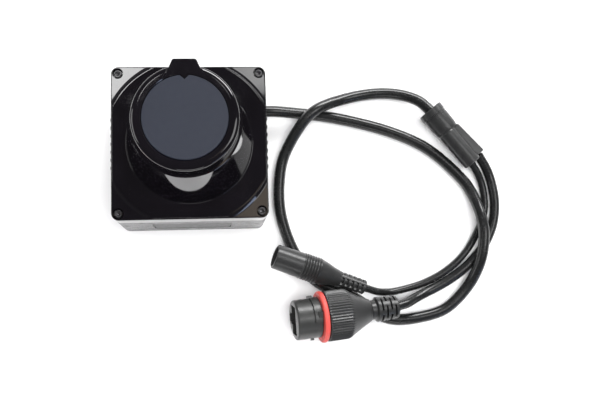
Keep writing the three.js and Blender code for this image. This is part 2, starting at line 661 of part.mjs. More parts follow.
function buildOptics() {
  add('mirror_hub', mirrorHub(), aluminium)
  add('scan_mirror', scanMirror(), mirror)
  add('balance_weight', balanceWeight(), steel)
  add('optics_holder', opticsHolder(), plasticBlack)
  add('receive_lens', receiveLens(), glass)
  add('laser_tube', laserTube(), aluminium)
  add('detector_board', ring(0.8, 18.9, 106, 107.6, 24), boardGreen)
}

function buildLead() {
  add('main_cable', tube(MAIN_ROUTE, MAIN_D, 50, 8), cableBlack)
  add('power_cable', tube(POWER_ROUTE, POWER_D, 18, 8), cableBlack)
  add('ethernet_cable', tube(ETHERNET_ROUTE, ETHERNET_D, 16, 8), cableBlack)
  add('cable_splitter', splitterBody(), plasticBlack, frameAlong(SPLITTER.from, SPLITTER.to))
}

function buildConnectors() {
  const jack = frameAlong(JACK.from, JACK.to)
  add('power_jack_shell', jackShell(), plasticBlack, jack)
  add('power_jack_insert', jackInsert(), plasticBlack, jack)
  add('power_pin', jackPin(), steel, jack)
  const socket = frameAlong(SOCKET.from, SOCKET.to)
  add('ethernet_socket', ethernetSocket(), plasticBlack, socket)
  add('ethernet_contacts', ethernetContacts(), gold, socket)
  add('seal_ring', sealRing(), sealRed, socket)
  add('coupling_grip', couplingGrip(), plasticBlack, socket)
  add('ethernet_boot', ethernetBoot(), rubberBlack, socket)
}

buildHousing()
buildElectronics()
buildDrive()
buildOptics()
buildLead()
buildConnectors()

export default lidar
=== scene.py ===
"""Looks of the compact scanning lidar: camera, light, cords, detailed skins and materials."""
import json
import math

import bmesh
import bpy
from mathutils import Matrix, Vector


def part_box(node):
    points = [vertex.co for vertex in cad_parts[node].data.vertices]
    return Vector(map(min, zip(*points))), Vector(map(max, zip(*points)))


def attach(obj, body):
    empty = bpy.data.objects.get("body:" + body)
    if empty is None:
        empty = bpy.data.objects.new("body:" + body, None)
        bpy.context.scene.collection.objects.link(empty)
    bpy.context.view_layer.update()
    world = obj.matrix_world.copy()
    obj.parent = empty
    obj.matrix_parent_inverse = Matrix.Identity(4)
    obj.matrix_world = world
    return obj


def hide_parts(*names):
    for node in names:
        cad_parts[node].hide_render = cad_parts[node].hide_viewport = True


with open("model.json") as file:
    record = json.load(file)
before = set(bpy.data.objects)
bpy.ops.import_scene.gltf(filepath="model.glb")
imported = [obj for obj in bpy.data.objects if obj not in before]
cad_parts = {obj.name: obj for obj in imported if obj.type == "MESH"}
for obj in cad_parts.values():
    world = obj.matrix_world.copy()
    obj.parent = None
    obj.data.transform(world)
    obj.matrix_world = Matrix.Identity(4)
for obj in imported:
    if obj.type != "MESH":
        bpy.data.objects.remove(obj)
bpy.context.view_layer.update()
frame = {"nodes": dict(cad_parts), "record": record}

MM = 0.001
GAP = 0.3  # clearance between touching pieces, mm
BODY = "housing"


def in_mm(node):
    """Lowest and highest corner of a CAD node, in millimetres."""
    return [[v / MM for v in corner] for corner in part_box(node)]


# ------------------------------------------- sizes in mm, from the frame where it has them
PLATE = in_mm("bottom_plate")
COVER = in_mm("window_cover")
DISC = in_mm("top_disc")
CASE = in_mm("base_housing")
LABEL = in_mm("label_plate")
SCREW = in_mm("cover_screw_3")
GROMMET = in_mm("cable_grommet")
SIDE = PLATE[1][0] - PLATE[0][0]
TOP = COVER[1][2]
SEAM = CASE[1][2]
DISC_R = DISC[1][0]
SCREW_XY = (SCREW[0][0] + SCREW[1][0]) / 2
SEAT = SCREW[1][2] + 0.4  # level of the corner seats
FLANGE = SEAT + 1.3  # where the turret stands
CORNER_R = 4
WALL = 3
BOSS_R = 15  # corner radius of the hollows, which leaves solid corners for the screws
BOTTOM_SCREW_XY = 36.2
MOUNT_XY = 24  # mounting holes in the bottom plate
FOOT_R = 32.3  # turret radius at the flange
SLEEVE_R = 26.02  # window radius at its top edge
CAP_R = 25  # upright band above the window
CAP_Z = 102  # where that band starts
CROWN = FLANGE + 0.25  # top of the flange's slight rise
MAIN_D = 6.5
POWER_D = 4.2
ETHERNET_D = 5.6


# ---------------------------------------------------------------------------- outlines
def arc(x, y, radius, start, end, steps):
    """Points on an arc, angles in degrees."""
    angles = [math.radians(start + (end - start) * i / steps) for i in range(steps + 1)]
    return [(x + radius * math.cos(a), y + radius * math.sin(a)) for a in angles]


def rounded_rect(width, height, radius, steps=8):
    x, y = width / 2 - radius, height / 2 - radius
    centres = [(x, -y, -90), (x, y, 0), (-x, y, 90), (-x, -y, 180)]
    return [p for cx, cy, a in centres for p in arc(cx, cy, radius, a, a + 90, steps)]


def circle(radius, steps=64):
    return arc(0, 0, radius, 0, 360, steps)[:-1]


def four_corners(distance):
    return [(sx * distance, sy * distance) for sx, sy in ((-1, -1), (1, -1), (1, 1), (-1, 1))]


# ------------------------------------------------------------------------ mesh building
def prism(outline, z0, z1, at=(0, 0)):
    """A closed prism over an anticlockwise outline."""
    bm = bmesh.new()
    low = [bm.verts.new((x + at[0], y + at[1], z0)) for x, y in outline]
    high = [bm.verts.new((x + at[0], y + at[1], z1)) for x, y in outline]
    bm.faces.new(low[::-1])
    bm.faces.new(high)
    count = len(outline)
    for i in range(count):
        j = (i + 1) % count
        bm.faces.new((low[i], low[j], high[j], high[i]))
    return bm


def inset(outline, distance):
    """An anticlockwise outline moved inwards, corner by corner."""
    moved = []
    for i, corner in enumerate(outline):
        before = Vector(outline[i - 1])
        here = Vector(corner)
        after = Vector(outline[(i + 1) % len(outline)])
        one, two = (here - before).normalized(), (after - here).normalized()
        middle = (one + two).normalized()
        share = max(0.5, middle.dot(two))
        moved.append(here + Vector((-middle.y, middle.x)) * distance / share)
    return [tuple(p) for p in moved]


def stack(outline, levels):
    """A closed solid over an outline, whose section at each (z, inset) level is that much smaller."""
    bm = bmesh.new()
    sections = [[(x, y, z) for x, y in inset(outline, distance)] for z, distance in levels]
    rings = [[bm.verts.new(point) for point in section] for section in sections]
    bm.faces.new(rings[0][::-1])
    bm.faces.new(rings[-1])
    for low, high in zip(rings, rings[1:]):
        for i in range(len(low)):
            j = (i + 1) % len(low)
            bm.faces.new((low[i], low[j], high[j], high[i]))
    return bm


def rounded_levels(z0, z1, low, high):
    """Levels of a prism with rounded edges of two radii, low and high."""
    angles = (0, 0.35, 0.8, 1.2, math.pi / 2)
    turn = [(1 - math.sin(a), 1 - math.cos(a)) for a in angles]
    bottom = [(z0 + low * up, low * side) for up, side in reversed(turn)] if low else [(z0, 0)]
    top = [(z1 - high * up, high * side) for up, side in turn] if high else [(z1, 0)]
    return bottom + top


def lathe(profile, segments=96, closed=False, at=(0, 0)):
    """A profile of (radius, z) points turned about Z. It starts and ends on the axis, or is closed."""
    bm = bmesh.new()
    rings = []
    for radius, z in profile:
        steps = segments if radius > 1e-6 else 1
        ring = arc(at[0], at[1], radius, 0, 360, steps)[:steps]
        rings.append([bm.verts.new((x, y, z)) for x, y in ring])
    if closed:
        rings.append(rings[0])
    for low, high in zip(rings, rings[1:]):
        for i in range(segments):
            j = (i + 1) % segments
            corners = [low[i % len(low)], low[j % len(low)], high[j % len(high)], high[i % len(high)]]
            corners = list(dict.fromkeys(corners))
            if len(corners) > 2:
                bm.faces.new(corners)
    return bm


def box(size, centre):
    bm = bmesh.new()
    bmesh.ops.create_cube(bm, size=1)
    bmesh.ops.scale(bm, vec=size, verts=bm.verts)
    bmesh.ops.translate(bm, vec=centre, verts=bm.verts)
    return bm


def turned_to(bm, matrix):
    bmesh.ops.transform(bm, matrix=matrix, verts=bm.verts)
    return bm


def scratch_object(bm):
    bmesh.ops.recalc_face_normals(bm, faces=bm.faces)
    mesh = bpy.data.meshes.new("scratch")
    bm.to_mesh(mesh)
    bm.free()
    obj = bpy.data.objects.new("scratch", mesh)
    bpy.context.scene.collection.objects.link(obj)
    return obj


def boolean(bm, tools, operation):
    """bm joined with, cut by or kept inside the tools."""
    target = scratch_object(bm)
    cutters = [scratch_object(tool) for tool in tools]
    for cutter in cutters:
        modifier = target.modifiers.new("boolean", "BOOLEAN")
        modifier.operation = operation
        modifier.solver = "EXACT"
        modifier.object = cutter
    graph = bpy.context.evaluated_depsgraph_get()
    mesh = bpy.data.meshes.new_from_object(target.evaluated_get(graph))
    result = bmesh.new()
    result.from_mesh(mesh)
    bpy.data.meshes.remove(mesh)
    for obj in [target, *cutters]:
        data = obj.data
        bpy.data.objects.remove(obj)
        bpy.data.meshes.remove(data)
    return result


def join(first, *others):
    return boolean(first, others, "UNION")


def cut(first, *tools):
    return boolean(first, tools, "DIFFERENCE")


def shade(bm, sharp_angle):
    """Smooth faces, with edges sharper than the angle kept hard."""
    for face in bm.faces:
        face.smooth = True
    for edge in bm.edges:
        if len(edge.link_faces) == 2:
            edge.smooth = edge.calc_face_angle(0) < math.radians(sharp_angle)


def piece(name, bm, material, replaces=(), place=None, sharp=30):
    """A finished piece from a mesh in millimetres, riding on the housing."""
    if place:
        turned_to(bm, place)
    bmesh.ops.remove_doubles(bm, verts=bm.verts, dist=0.001)
    bmesh.ops.recalc_face_normals(bm, faces=bm.faces)
    bmesh.ops.scale(bm, vec=(MM, MM, MM), verts=bm.verts)
    shade(bm, sharp)
    mesh = bpy.data.meshes.new(name)
    bm.to_mesh(mesh)
    bm.free()
    obj = bpy.data.objects.new(name, mesh)
    bpy.context.scene.collection.objects.link(obj)
    mesh.materials.append(material)
    flat = obj.modifiers.new("flat_faces", "WEIGHTED_NORMAL")
    flat.keep_sharp = True
    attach(obj, BODY)
    if replaces:
        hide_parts(*replaces)
    return obj


def axis_frame(start, end):
    """Z from start to end, Y as near up as it can be, as in the CAD model."""
    start, end = Vector(start), Vector(end)
    z = (end - start).normalized()
    x = Vector((0, 0, 1)).cross(z).normalized()
    y = z.cross(x)
    return Matrix.Translation(start) @ Matrix((x, y, z)).transposed().to_4x4()


# --------------------------------------------------------------------------- materials
class Finish:
    """A principled material whose colour, roughness and bump come from procedural nodes."""

    def __init__(self, name, color, roughness, metallic=0.0, ior=1.5):
        self.material = bpy.data.materials.new(name)
        self.material.use_nodes = True
        self.nodes = self.material.node_tree.nodes
        self.links = self.material.node_tree.links
        self.shader = self.nodes["Principled BSDF"]
        self.place = self.nodes.new("ShaderNodeTexCoord").outputs["Object"]
        self.shader.inputs["Base Color"].default_value = (*color, 1)
        self.shader.inputs["Roughness"].default_value = roughness
        self.shader.inputs["Metallic"].default_value = metallic
        self.shader.inputs["IOR"].default_value = ior
        self.color = color
        self.roughness = roughness
        self.height = None

    def noise(self, scale, detail=3.0, stretch=(1, 1, 1)):
        mapping = self.nodes.new("ShaderNodeMapping")
        mapping.inputs["Scale"].default_value = stretch
        self.links.new(self.place, mapping.inputs["Vector"])
        noise = self.nodes.new("ShaderNodeTexNoise")
        noise.inputs["Scale"].default_value = scale
        noise.inputs["Detail"].default_value = detail
        self.links.new(mapping.outputs["Vector"], noise.inputs["Vector"])
        return noise.outputs["Fac"]

    def spread(self, factor, low, high):
        """Maps a noise, nearly all of which lies in 0.3 to 0.7, onto low to high."""
        node = self.nodes.new("ShaderNodeMapRange")
        node.inputs["From Min"].default_value = 0.3
        node.inputs["From Max"].default_value = 0.7
        node.inputs["To Min"].default_value = low
        node.inputs["To Max"].default_value = high
        self.links.new(factor, node.inputs["Value"])
        return node.outputs["Result"]

    def mottle(self, scale, change, detail=4.0):
        """Colour that varies by a share of itself."""
        mix = self.nodes.new("ShaderNodeMix")
        mix.data_type = "RGBA"
        mix.inputs["A"].default_value = (*[c * (1 - change) for c in self.color], 1)
        mix.inputs["B"].default_value = (*[c * (1 + change) for c in self.color], 1)
        factor = self.spread(self.noise(scale, detail), 0, 1)
        self.links.new(factor, mix.inputs["Factor"])
        self.links.new(mix.outputs["Result"], self.shader.inputs["Base Color"])
        return self

    def wear(self, scale, change, stretch=(1, 1, 1)):
        """Roughness that varies by a share of itself."""
        low, high = self.roughness * (1 - change), min(1, self.roughness * (1 + change))
        factor = self.spread(self.noise(scale, 5.0, stretch), low, high)
        self.links.new(factor, self.shader.inputs["Roughness"])
        return self

    def grain(self, scale, strength, depth, stretch=(1, 1, 1), detail=2.0):
        """Surface relief: depth in millimetres."""
        bump = self.nodes.new("ShaderNodeBump")
        bump.inputs["Strength"].default_value = strength
        bump.inputs["Distance"].default_value = depth * MM
        self.links.new(self.noise(scale, detail, stretch), bump.inputs["Height"])
        if self.height:
            self.links.new(self.height, bump.inputs["Normal"])
        self.height = bump.outputs["Normal"]
        self.links.new(self.height, self.shader.inputs["Normal"])
        return self


def window_gloss():
    finish = Finish("ir_window_gloss", (0.0035, 0.003, 0.0042), 0.05, ior=1.5)
    return finish.mottle(40, 0.25).wear(160, 0.45).grain(55, 0.05, 0.05).material


def cast_paint():
    finish = Finish("cast_black_paint", (0.01, 0.01, 0.011), 0.28, ior=1.38)
    return finish.mottle(60, 0.2).wear(220, 0.25).grain(1800, 0.12, 0.03).material


def slate():
    finish = Finish("slate_matte", (0.013, 0.016, 0.026), 0.5)
    return finish.mottle(35, 0.06).wear(300, 0.12).grain(3500, 0.25, 0.02).material


def black_oxide():
    finish = Finish("black_oxide_steel", (0.2, 0.2, 0.205), 0.3, metallic=1.0)
    return finish.mottle(900, 0.35).wear(1200, 0.3).grain(2500, 0.15, 0.02).material


def label_film():
    finish = Finish("label_film", (0.06, 0.06, 0.06), 0.42, ior=1.35)
    return finish.mottle(500, 0.12).wear(400, 0.15).grain(2500, 0.1, 0.02).material


def soft_rubber():
    finish = Finish("soft_rubber", (0.012, 0.013, 0.013), 0.4)
    return finish.mottle(300, 0.15).wear(500, 0.15).grain(2600, 0.3, 0.03).material


def jacket():
    finish = Finish("cable_jacket", (0.009, 0.0095, 0.0095), 0.26)
    return finish.mottle(120, 0.12).wear(260, 0.15).grain(1800, 0.08, 0.01).material


def moulded():
    finish = Finish("moulded_black", (0.02, 0.0205, 0.0205), 0.33)
    return finish.mottle(260, 0.12).wear(700, 0.15).grain(3200, 0.4, 0.035).material


def moulded_grey():
    finish = Finish("moulded_grey_black", (0.03, 0.031, 0.03), 0.34)
    return finish.mottle(260, 0.1).wear(700, 0.15).grain(2800, 0.5, 0.04).material


def silicone():
    finish = Finish("red_silicone", (0.62, 0.075, 0.062), 0.5)
    finish.shader.inputs["Subsurface Weight"].default_value = 0.15
    finish.shader.inputs["Subsurface Radius"].default_value = (0.002, 0.0006, 0.0005)
    finish.shader.inputs["Subsurface Scale"].default_value = 1.0
    return finish.mottle(220, 0.06).wear(400, 0.15).grain(1800, 0.15, 0.02).material


def solder_mask():
    finish = Finish("solder_mask", (0.012, 0.09, 0.04), 0.35)
    return finish.mottle(700, 0.4).wear(500, 0.2).grain(900, 0.2, 0.02).material


def turned_aluminium():
    finish = Finish("turned_aluminium", (0.55, 0.56, 0.57), 0.3, metallic=1.0)
    return finish.mottle(200, 0.05).wear(90, 0.3, (1, 1, 60)).grain(200, 0.1, 0.01, (1, 1, 40)).material


def ground_steel():
    finish = Finish("ground_steel", (0.46, 0.46, 0.47), 0.24, metallic=1.0)
    return finish.mottle(300, 0.08).wear(120, 0.3, (1, 1, 30)).grain(400, 0.08, 0.01).material


def enamelled_copper():
    finish = Finish("enamelled_copper", (0.52, 0.2, 0.08), 0.32, metallic=1.0)
    return finish.mottle(500, 0.15).wear(400, 0.2).grain(160, 0.6, 0.1, (1, 1, 14)).material


def optical_glass():
    finish = Finish("optical_glass", (0.85, 0.89, 0.95), 0.03)
    finish.shader.inputs["Transmission Weight"].default_value = 0.85
    return finish.mottle(90, 0.02).wear(300, 0.3).material


def mirror_coat():
    finish = Finish("mirror_coat", (0.86, 0.87, 0.88), 0.03, metallic=1.0)
    return finish.mottle(90, 0.02).wear(400, 0.4).material


def plated_gold():
    finish = Finish("plated_gold", (0.72, 0.48, 0.17), 0.25, metallic=1.0)
    return finish.mottle(600, 0.1).wear(500, 0.3).grain(1500, 0.1, 0.01).material


def polyimide():
    finish = Finish("polyimide_film", (0.42, 0.17, 0.03), 0.3)
    return finish.mottle(160, 0.1).wear(300, 0.2).grain(500, 0.1, 0.02, (30, 1, 1)).material


def paper_floor():
    finish = Finish("pale_floor", (0.9, 0.9, 0.9), 0.75, ior=1.3)
    return finish.mottle(3, 0.01).wear(8, 0.05).material


WINDOW = window_gloss()
PAINT = cast_paint()
SLATE = slate()
OXIDE = black_oxide()
FILM = label_film()
RUBBER = soft_rubber()
JACKET = jacket()
MOULDED = moulded()
MOULDED_GREY = moulded_grey()
RED = silicone()
GOLD = plated_gold()
STEEL = ground_steel()

CARRIED_OVER = {
    "cast_black": PAINT,
    "black_rubber": RUBBER,
    "moulded_black": MOULDED,
    "black_steel": OXIDE,
    "bright_steel": STEEL,
    "contact_gold": GOLD,
    "circuit_board": solder_mask(),
    "bare_aluminium": turned_aluminium(),
    "copper_winding": enamelled_copper(),
    "lens_glass": optical_glass(),
    "front_mirror": mirror_coat(),
    "flex_film": polyimide(),
    "ir_window": WINDOW,
    "slate_disc": SLATE,
    "label": FILM,
    "cable_jacket": JACKET,
    "red_seal": RED,
}


def finish_cad_nodes():
    """Every CAD node gets the material of its slot, for those that stay in sight."""
    for row in frame["record"]["subparts"]:
        mesh = frame["nodes"][row["node"]].data
        mesh.materials.clear()
        mesh.materials.append(CARRIED_OVER[row["material_slot"]])


# ------------------------------------------------------------------------------ camera
def make_camera():
    """Nearly straight down, from a little in front and to the right of the housing."""
    camera = bpy.data.objects.new("camera", bpy.data.cameras.new("camera"))
    camera.data.sensor_width = 36
    camera.data.lens = 51
    camera.data.clip_start = 0.01
    camera.location = (0.01454, -0.08751, 0.4899)
    camera.rotation_euler = [math.radians(a) for a in (7.53, -5.251, -1.789)]
    bpy.context.scene.collection.objects.link(camera)
    bpy.context.scene.camera = camera


# ------------------------------------------------------------------------------- cords
MAIN_ROUTE = [
    (36, 27, 8.6), (42, 27, 8.6), (48, 27.1, 8.1), (66, 26.4, 3.6), (72, 25.7, 3.3),
    (84.6, 23.6, 3.3), (115.3, 15.5, 3.3), (138.5, 4.4, 3.3), (158.6, -14.6, 3.4),
    (162.8, -21.6, 4), (165.4, -29, 5.6), (166.9, -37, 8.1), (167.5, -46, 9.5), (165.2, -61, 8.6),
    (159, -75, 4.2), (146, -88, 3.3), (137, -92, 3.3), (118.5, -94.8, 3.3), (110, -93.8, 3.3),
    (102, -90, 3.3), (94, -83.6, 3.3), (86, -78.6, 3.3), (77, -76, 3.3), (68.6, -71, 3.3),
    (61.8, -62.9, 3.3), (54.1, -48, 3.3), (49.3, -28, 3.3), (50.6, -5.5, 3.9), (54, 4.6, 5.4),
    (64.6, 21.2, 10.1), (71.4, 27.2, 10.3), (79.4, 31.4, 8), (88.4, 34.7, 5), (98, 37.2, 3.5),
    (108, 38.5, 3.3), (118, 38.3, 3.6), (127, 36.2, 4.9), (134, 32.6, 6.7), (139.4, 27.3, 7.5),
]
POWER_ROUTE = [
    (164.4, -5.8, 5.3), (167, -9.8, 4.2), (169.3, -14.8, 2.9), (170.7, -20.6, 2.2),
    (171.2, -26.6, 2.1), (170.7, -32.6, 2.1), (168.8, -38.8, 2.1), (165.4, -45.6, 2.1),
    (161.2, -52.6, 2.1), (156.4, -58.6, 2.1), (150, -64.4, 2.1), (141.4, -70, 2.1),
    (131, -74.6, 2.1), (120.6, -77.4, 2.3), (112, -78.8, 3.4), (104.5, -78.6, 6.4),
    (97.4, -76.6, 8.6),
]
ETHERNET_ROUTE = [
    (169.1, -1.9, 5.6), (172, -6.4, 4.4), (174.6, -12, 3.2), (176.2, -18.6, 2.8),
    (177, -26, 2.8), (176.6, -33.6, 2.8), (175, -41, 2.8), (172, -48, 2.8), (168.6, -53.6, 2.8),
    (163.6, -59.8, 2.8), (157.6, -65.4, 2.8), (150, -70.9, 2.8), (141, -76, 2.8),
    (133, -79.6, 3.6), (125.6, -82.9, 6.6), (119.6, -85.6, 10.4), (114.6, -86.9, 12.4),
]


def spline_through(points, steps=6):
    """A centripetal Catmull-Rom line through the points, in metres."""
    knots = [Vector(p) * MM for p in points]
    knots = [knots[0] * 2 - knots[1], *knots, knots[-1] * 2 - knots[-2]]
    line = []
    for a, b, c, d in zip(knots, knots[1:], knots[2:], knots[3:]):
        times = [0.0]
        for p, q in ((a, b), (b, c), (c, d)):
            times.append(times[-1] + math.sqrt((q - p).length))
        t0, t1, t2, t3 = times
        for i in range(steps):
            t = t1 + (t2 - t1) * i / steps
            ab = a.lerp(b, (t - t0) / (t1 - t0))
            bc = b.lerp(c, (t - t1) / (t2 - t1))
            cd = c.lerp(d, (t - t2) / (t3 - t2))
            abc = ab.lerp(bc, (t - t0) / (t2 - t0))
            bcd = bc.lerp(cd, (t - t1) / (t3 - t1))
            line.append(abc.lerp(bcd, (t - t1) / (t2 - t1)))
    line.append(knots[-2])
    return line


def cord_piece(name, route, diameter, node, after, before=0):
    """A round cord along its route, and a few millimetres on into the fitting at each end."""
    line = spline_through(route)
    if before:
        line.insert(0, line[0] + (line[0] - line[1]).normalized() * before * MM)
    line.append(line[-1] + (line[-1] - line[-2]).normalized() * after * MM)
    curve = bpy.data.curves.new(name, "CURVE")
    curve.dimensions = "3D"
    curve.bevel_depth = diameter * MM / 2
    curve.bevel_resolution = 7
    curve.use_fill_caps = True
    spline = curve.splines.new("POLY")
    spline.points.add(len(line) - 1)
    for point, place in zip(spline.points, line):
        point.co = (*place, 1)
    spline.use_smooth = True
    curve.materials.append(JACKET)
    obj = bpy.data.objects.new(name, curve)
    bpy.context.scene.collection.objects.link(obj)
    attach(obj, BODY)
    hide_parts(node)
    return obj


# ------------------------------------------------------------------------- the housing
def ribs(z0, z1):
    """Shallow cooling ribs on the two side walls, with rounded ends."""
    count, pitch, width, proud = 7, 4.2, 2, 0.5
    outline = rounded_rect(width, z1 - z0, 0.9, 4)
    quarter = math.radians(90)
    standing = Matrix.Rotation(quarter, 4, "Y") @ Matrix.Rotation(quarter, 4, "Z")
    made = []
    for side in (-1, 1):
        for i in range(count):
            y = (i - (count - 1) / 2) * pitch
            rib = stack(outline, rounded_levels(-1, proud, 0, 0.3))
            mirrored = Matrix.Diagonal((side, 1, 1, 1))
            place = Matrix.Translation((side * SIDE / 2, y, (z0 + z1) / 2)) @ mirrored @ standing
            made.append(turned_to(rib, place))
    return made


def turret_radius(z):
    return FOOT_R - (z - FLANGE) * (FOOT_R - SLEEVE_R) / (CAP_Z - FLANGE)


def turret():
    """The tapered window on a small foot fillet, a shoulder, then the cap band and its rounded rim."""
    foot = 0.5
    root = FOOT_R + 0.3
    profile = [(0, SEAT - 1), (root, SEAT - 1), (root, CROWN)]
    profile += arc(root, CROWN + foot, foot, -90, -168, 4)
    profile += [(SLEEVE_R, CAP_Z), (SLEEVE_R - 0.12, CAP_Z + 0.1), (CAP_R, CAP_Z + 0.15)]
    small, large, turn = 1.2, 3.2, 50
    x = CAP_R - 0.35 - small
    lift = (large - small) * math.sin(math.radians(turn))
    pull = (large - small) * math.cos(math.radians(turn))
    profile += arc(x, TOP - large + lift, small, 3, turn, 6)
    profile += arc(x - pull, TOP - large, large, turn, 90, 8)[1:]
    return lathe(profile + [(0, TOP)], 160)


def tab():
    """Rear pillar that ends in the tapered tab, with small fillets where it leaves the rim."""
    foot_z = 62
    tip, reach, corner = 5.8, 27.1, 1.2
    root, shoulder = 6.9, 23.6
    right = [(root + 1.6, 12), (root + 1.6, 20)]
    right += [(root + 1.3, 22.3), (root + 0.7, 22.7), (root + 0.25, 23.1), (root, shoulder)]
    right += arc(tip - corner, reach - corner, corner, 20, 90, 6)
    left = [(-x, y) for x, y in reversed(right)]
    return stack(right + left, rounded_levels(foot_z, TOP, 0, 0.35))


def pointer(grow, z0, z1):
    """The small pointer that runs from the tab into the disc's edge, wider by grow on each side."""
    half, root, apex = 3.1 + grow, 20.6, 17.9 - 1.4 * grow
    return prism([(-half, root), (0, apex), (half, root)], z0, z1)


def square(half, z0, z1, edge=0):
    """A square block with slightly rounded corners, half its width given."""
    return stack(rounded_rect(2 * half, 2 * half, 0.6, 3), rounded_levels(z0, z1, 0, edge))


def plateau():
    """Raised centre of the flange: bevelled edge, a level lip, then a slight rise to the turret."""
    lip = SEAT + 1.1
    low = SEAT - 3
    base_half, pocket_half, rise_half = 39.35, 38.5, 38.4
    pocket_r, rise_r = 42.85, 42.75
    edge = [(0, SEAT - 2), (45.3, SEAT - 2), (45.3, SEAT + 0.02), (45, SEAT + 0.07), (43.8, SEAT + 0.96),
            (43.62, SEAT + 1.06), (43.4, lip), (0, lip)]
    base = boolean(lathe(edge, 180), [square(base_half, low, lip + 0.01, 0.3)], "INTERSECT")
    pocket = lathe([(0, lip - 0.3), (pocket_r, lip - 0.3), (pocket_r, lip + 1), (0, lip + 1)], 180)
    pocket = boolean(pocket, [square(pocket_half, low, lip + 2)], "INTERSECT")
    rise = [(0, SEAT), (rise_r, SEAT), (rise_r, lip - 0.16), (rise_r - 0.15, lip - 0.06), (FOOT_R, CROWN),
            (0, CROWN)]
    centre = boolean(lathe(rise, 180), [square(rise_half, low, lip + 2)], "INTERSECT")
    return join(cut(base, pocket), centre)


def counterbore(at):
    """Screw seat: flat floor, straight wall and a small chamfer at its mouth."""
    floor = SEAT - 3.2
    wall, mouth = 2.75, 2.85
    profile = [(0, floor), (wall, floor), (wall, SEAT - 0.08), (mouth, SEAT + 0.02), (mouth, TOP), (0, TOP)]
    return lathe(profile, 48, at=at)


def window_cover():
    """Skirt, flange, turret and tab in one hollow moulding, with the disc's recess and screw seats."""
    z0 = SEAM + GAP
    inside = SIDE - 2 * WALL
    ceiling = SEAT - WALL
    recess_floor = DISC[0][2] - GAP
    recess_r = DISC_R + GAP
    skirt = stack(rounded_rect(SIDE, SIDE, CORNER_R, 10), rounded_levels(z0, SEAT, 0.25, 0.55))
    body = join(skirt, plateau(), turret(), tab(), *ribs(z0 + 2.5, SEAT - 2.5))
    skirt_hollow = prism(rounded_rect(inside, inside, BOSS_R), z0 - 1, ceiling)
    top = recess_floor - 2.6
    wall = 2.3
    turret_hollow = lathe([(0, ceiling - 1), (turret_radius(ceiling) - wall, ceiling - 1),
                           (CAP_R - wall, CAP_Z), (CAP_R - wall, top), (0, top)], 72)
    recess = [(0, recess_floor), (recess_r, recess_floor), (recess_r, TOP - 0.25),
              (recess_r + 0.35, TOP + 0.1), (recess_r + 0.35, TOP + 1), (0, TOP + 1)]
    holes = [prism(circle(1.6, 24), z0 - 1, SEAT, at) for at in four_corners(SCREW_XY)]
    seats = [counterbore(at) for at in four_corners(SCREW_XY)]
    hollow = cut(body, skirt_hollow, turret_hollow, lathe(recess, 120), *seats, *holes)
    whole = join(hollow, pointer(0, recess_floor - 0.5, TOP - 0.02))
    return piece("window_cover_skin", whole, WINDOW, ["window_cover"], sharp=24)


def top_disc():
    """Matte disc with a fine edge break and a notch for the pointer."""
    z0, z1 = DISC[0][2], DISC[1][2]
    disc = lathe([(0, z0), (DISC_R, z0), (DISC_R, z1 - 0.25), (DISC_R - 0.25, z1), (0, z1)], 120)
    disc = cut(disc, pointer(GAP, z0 - 1, z1 + 1))
    return piece("top_disc_skin", disc, SLATE, ["top_disc"])


def front_prism(outline, y0, y1, z, edge=0):
    """A prism along Y whose outline stands in the front wall, with its front edge rounded."""
    upright = Matrix.Translation((0, y1, z)) @ Matrix.Rotation(math.radians(90), 4, "X")
    return turned_to(stack(outline, rounded_levels(0, y1 - y0, 0, edge)), upright)


def side_rod(radius, x0, x1, y, z):
    along_x = Matrix.Translation((x0, y, z)) @ Matrix.Rotation(math.radians(90), 4, "Y")
    return turned_to(prism(circle(radius, 48), 0, x1 - x0), along_x)


def base_housing():
    """Casing with a deck across it, its label recess, the lead's exit and the screw holes."""
    z0 = CASE[0][2]
    inside = SIDE - 2 * WALL
    deck_low, deck_high = 33, 36
    motor_seat_r, exit_r = 8.6, 4.9
    label_z = (LABEL[0][2] + LABEL[1][2]) / 2
    label_w, label_h = LABEL[1][0] - LABEL[0][0], LABEL[1][2] - LABEL[0][2]
    exit_y, exit_z = [(GROMMET[0][i] + GROMMET[1][i]) / 2 for i in (1, 2)]
    shell = stack(rounded_rect(SIDE, SIDE, CORNER_R, 10), rounded_levels(z0, SEAM, 0.25, 0.25))
    body = join(shell, *ribs(8, SEAM - 3.5))
    below = prism(rounded_rect(inside, inside, BOSS_R), z0 - 1, deck_low)
    above = prism(rounded_rect(inside, inside, BOSS_R), deck_high, SEAM + 1)
    motor_seat = prism(circle(motor_seat_r, 48), deck_low - 1, deck_high + 1)
    lead_slot = box((12, 3.4, 5), (0, 29.2, (deck_low + deck_high) / 2))
    around_label = rounded_rect(label_w + 1, label_h + 1, 3)
    recess = front_prism(around_label, -SIDE / 2 - 1, LABEL[1][1] + GAP, label_z)
    exit_hole = side_rod(exit_r, 30, SIDE / 2 + 1, exit_y, exit_z)
    holes = [prism(circle(1.55, 20), 29, SEAM + 1, at) for at in four_corners(SCREW_XY)]
    holes += [prism(circle(1.55, 20), z0 - 1, 13, at) for at in four_corners(BOTTOM_SCREW_XY)]
    hollow = cut(body, below, above, motor_seat, lead_slot, recess, exit_hole, *holes)
    return piece("base_housing_skin", hollow, PAINT, ["base_housing"])


